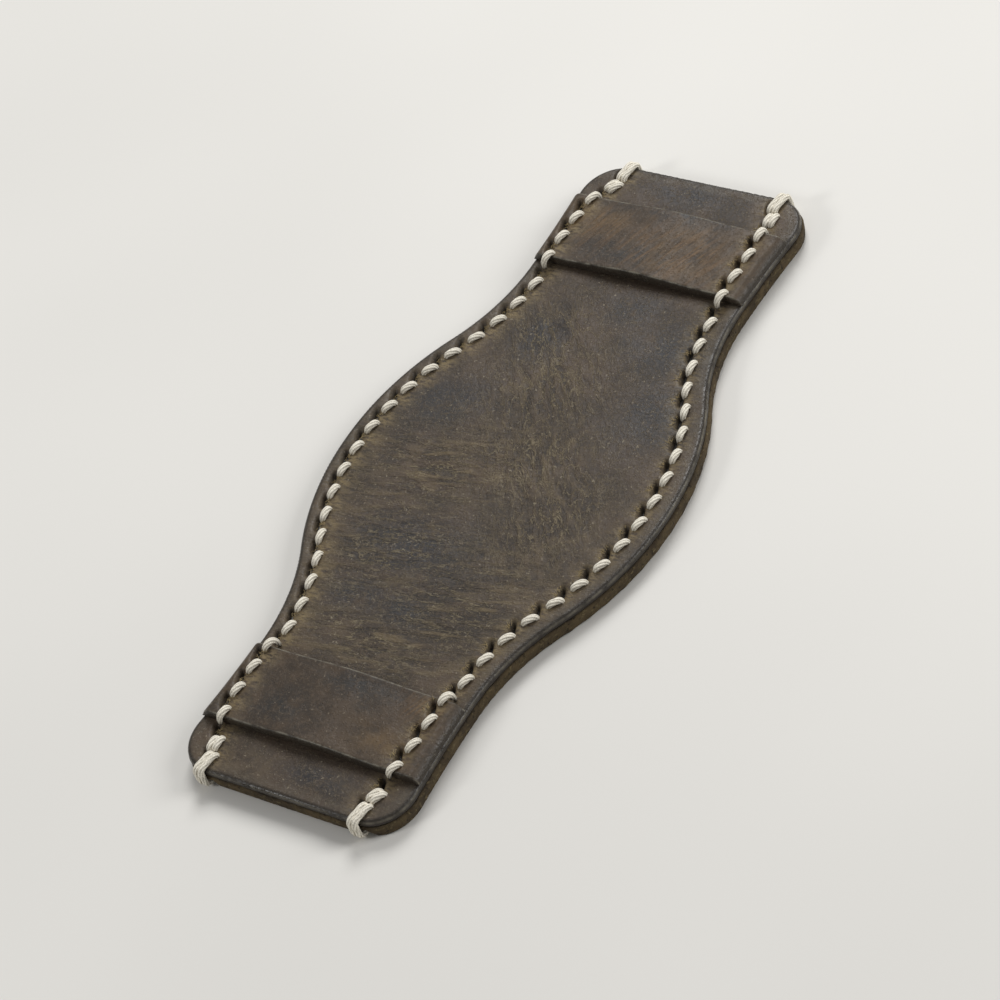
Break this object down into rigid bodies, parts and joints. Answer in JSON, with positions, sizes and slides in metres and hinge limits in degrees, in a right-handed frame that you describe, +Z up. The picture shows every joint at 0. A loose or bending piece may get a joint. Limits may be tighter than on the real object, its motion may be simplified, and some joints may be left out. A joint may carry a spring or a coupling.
{
  "type": "bund watch strap pad",
  "caption": "Stitched leather bund pad that sits between a watch strap and the wrist, with a sewn bridge near each end for the strap to pass under.",
  "frame": {"origin": "middle of the underside of the pad, on the face that lies on the wrist", "axes": "+X across the pad, +Y along the pad towards the upper bridge, +Z up through the leather from the wrist side to the watch side"},
  "size_m": [0.045, 0.0974, 0.0048],
  "materials": {
    "top_leather": "waxed pull-up leather, satin, dark taupe brown",
    "bridge_leather": "waxed pull-up leather, satin, warm dark brown with burnished edges",
    "lining_leather": "matt brown leather with a fibrous cut edge",
    "thread": "waxed twisted linen thread, cream"
  },
  "bodies": {
    "root": {"wrist_lining": "lining_leather", "top_leather": "top_leather", "upper_bridge": "bridge_leather", "lower_bridge": "bridge_leather", "right_seam_thread": "thread", "left_seam_thread": "thread"}
  },
  "joints": []
}
